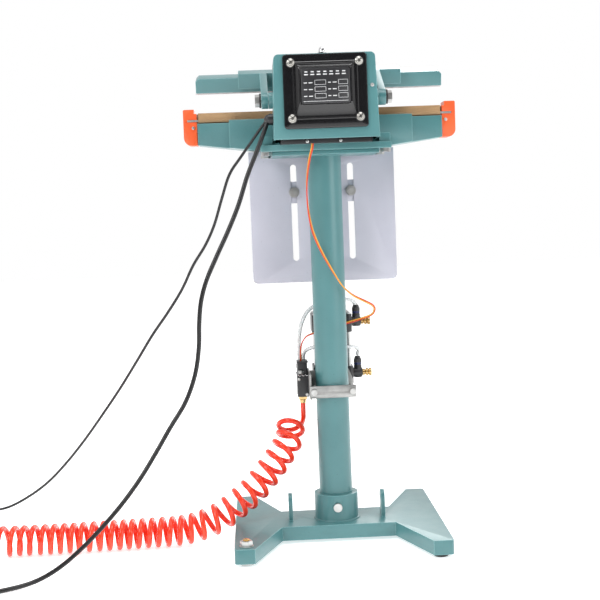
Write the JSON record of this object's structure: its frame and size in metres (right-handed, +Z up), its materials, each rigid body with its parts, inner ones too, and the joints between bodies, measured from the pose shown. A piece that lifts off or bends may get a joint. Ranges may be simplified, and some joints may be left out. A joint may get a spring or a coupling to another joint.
{
  "type": "impulse heat sealer",
  "caption": "Pedestal impulse heat sealer: a pneumatic cylinder on the column pulls the hinged upper jaw down onto a heated lower jaw, with a slotted apron and shelf.",
  "frame": {"origin": "centre of the machine's floor outline, on the floor, measured without the cords", "axes": "+Z up, +Y towards the operator (jaw side), +X to the right as seen from the rear"},
  "size_m": [0.8976, 0.5051, 0.7284],
  "materials": {
    "teal_paint": "satin hammered enamel",
    "black_rubber": "matt",
    "zinc_steel": "bright zinc",
    "black_chassis": "satin",
    "black_cover": "glossy",
    "label": "printed plate with plain bars",
    "chrome": "polished",
    "core_steel": "laminated",
    "winding": "varnished winding",
    "circuit_board": "circuit board",
    "black_panel": "matt",
    "red_rocker": "glossy, translucent",
    "orange_knob": "satin",
    "grey_knob": "satin",
    "phenolic": "matt",
    "nichrome": "bright",
    "ptfe_cloth": "coated glass cloth",
    "strip_aluminium": "satin",
    "orange_cap": "satin",
    "brass": "turned",
    "silicone": "matt",
    "steel_rod": "ground and chromed",
    "cylinder_aluminium": "anodised",
    "black_anodised": "satin black",
    "grey_bracket": "zinc grey",
    "black_plastic": "satin",
    "clear_tube": "milky polyurethane",
    "lead_red_yellow": "two-wire lead",
    "light_grey_paint": "satin",
    "cable_black": "satin PVC",
    "pedal_plastic": "textured",
    "switch_grey": "satin",
    "hose_red": "glossy polyurethane"
  },
  "bodies": {
    "frame": {"base_casting": "teal_paint", "rubber_feet": "black_rubber", "levelling_foot": "zinc_steel", "column_tube": "teal_paint", "column_top_plate": "teal_paint", "head_base_plate": "teal_paint", "hex_bolts": "zinc_steel", "lower_jaw": "teal_paint", "head_tray": "black_chassis", "head_housing": "teal_paint", "rear_cover": "black_cover", "panel_screws": "zinc_steel", "data_plate": "label", "top_cap_nut": "chrome", "transformer_core": "core_steel", "transformer_coil": "winding", "timer_board": "circuit_board", "control_panel": "black_panel", "heater_bar": "phenolic", "heating_element": "nichrome", "ptfe_sheet": "ptfe_cloth", "clamp_strips": "strip_aluminium", "end_caps": "orange_cap", "element_terminals": "brass", "pivot_bolts": "zinc_steel", "pivot_washers": "black_rubber", "cylinder_tube": "cylinder_aluminium", "cylinder_caps": "black_anodised", "cylinder_bracket": "grey_bracket", "clamp_bar": "grey_bracket", "flow_controls": "black_plastic", "valve_body": "black_anodised", "valve_coil": "black_plastic", "hose_inlet": "brass", "air_tubes": "clear_tube", "solenoid_lead": "lead_red_yellow", "apron_plate": "light_grey_paint", "cable_glands": "black_plastic", "power_cord": "cable_black", "power_cord_coil": "cable_black", "power_plug": "cable_black", "pedal_lead": "cable_black", "foot_switch_base": "switch_grey", "air_hose": "hose_red", "hose_connector": "brass"},
    "jaw": {"upper_jaw": "teal_paint", "silicone_strip": "silicone", "clevis_pin": "steel_rod"},
    "rod": {"rod_eye": "zinc_steel", "pull_rod": "steel_rod", "rod_nuts": "zinc_steel", "piston_rod": "steel_rod"},
    "shelf": {"work_shelf": "light_grey_paint", "shelf_bolts": "zinc_steel"},
    "rocker": {"power_switch": "red_rocker"},
    "heat_dial": {"heat_knob": "orange_knob"},
    "cool_dial": {"cool_knob": "grey_knob"},
    "upper_flow_screw": {"upper_flow_knob": "brass"},
    "lower_flow_screw": {"lower_flow_knob": "brass"},
    "foot_pedal": {"foot_switch_pedal": "pedal_plastic"}
  },
  "joints": [
    {"name": "jaw_hinge", "type": "hinge", "parent": "frame", "child": "jaw", "pos_m": [0, -0.038, 0.6585], "axis": [1, 0, 0], "range_deg": [-13.9, 0]},
    {"name": "rod_slide", "type": "slide", "parent": "frame", "child": "rod", "axis": [0, 0, 1], "range_m": [-0.02458, 0]},
    {"name": "shelf_slide", "type": "slide", "parent": "frame", "child": "shelf", "axis": [0, 0, 1], "range_m": [-0.102, 0.038]},
    {"name": "rocker_tilt", "type": "hinge", "parent": "frame", "child": "rocker", "pos_m": [0.042, -0.01, 0.68], "axis": [1, 0, 0], "range_deg": [-12, 12]},
    {"name": "heat_dial_turn", "type": "hinge", "parent": "frame", "child": "heat_dial", "pos_m": [-0.03, 0, 0.68], "axis": [0, 1, 0], "range_deg": [-150, 150]},
    {"name": "cool_dial_turn", "type": "hinge", "parent": "frame", "child": "cool_dial", "pos_m": [0.012, 0, 0.68], "axis": [0, 1, 0], "range_deg": [-150, 150]},
    {"name": "upper_flow_turn", "type": "hinge", "parent": "frame", "child": "upper_flow_screw", "pos_m": [0.055, 0.062, 0.3205], "axis": [1, 0, 0], "range_deg": [-360, 1440]},
    {"name": "lower_flow_turn", "type": "hinge", "parent": "frame", "child": "lower_flow_screw", "pos_m": [0.055, 0.062, 0.2395], "axis": [1, 0, 0], "range_deg": [-360, 1440]},
    {"name": "pedal_press", "type": "hinge", "parent": "frame", "child": "foot_pedal", "pos_m": [-0.648, 0.138, 0.027], "axis": [1, 0, 0], "range_deg": [0, 6], "stiffness_Nm_per_rad": 4, "springref_deg": -6.88}
  ],
  "couplings": [
    {"joint": "rod_slide", "follows": "jaw_hinge", "m_per_rad": 0.10049}
  ]
}
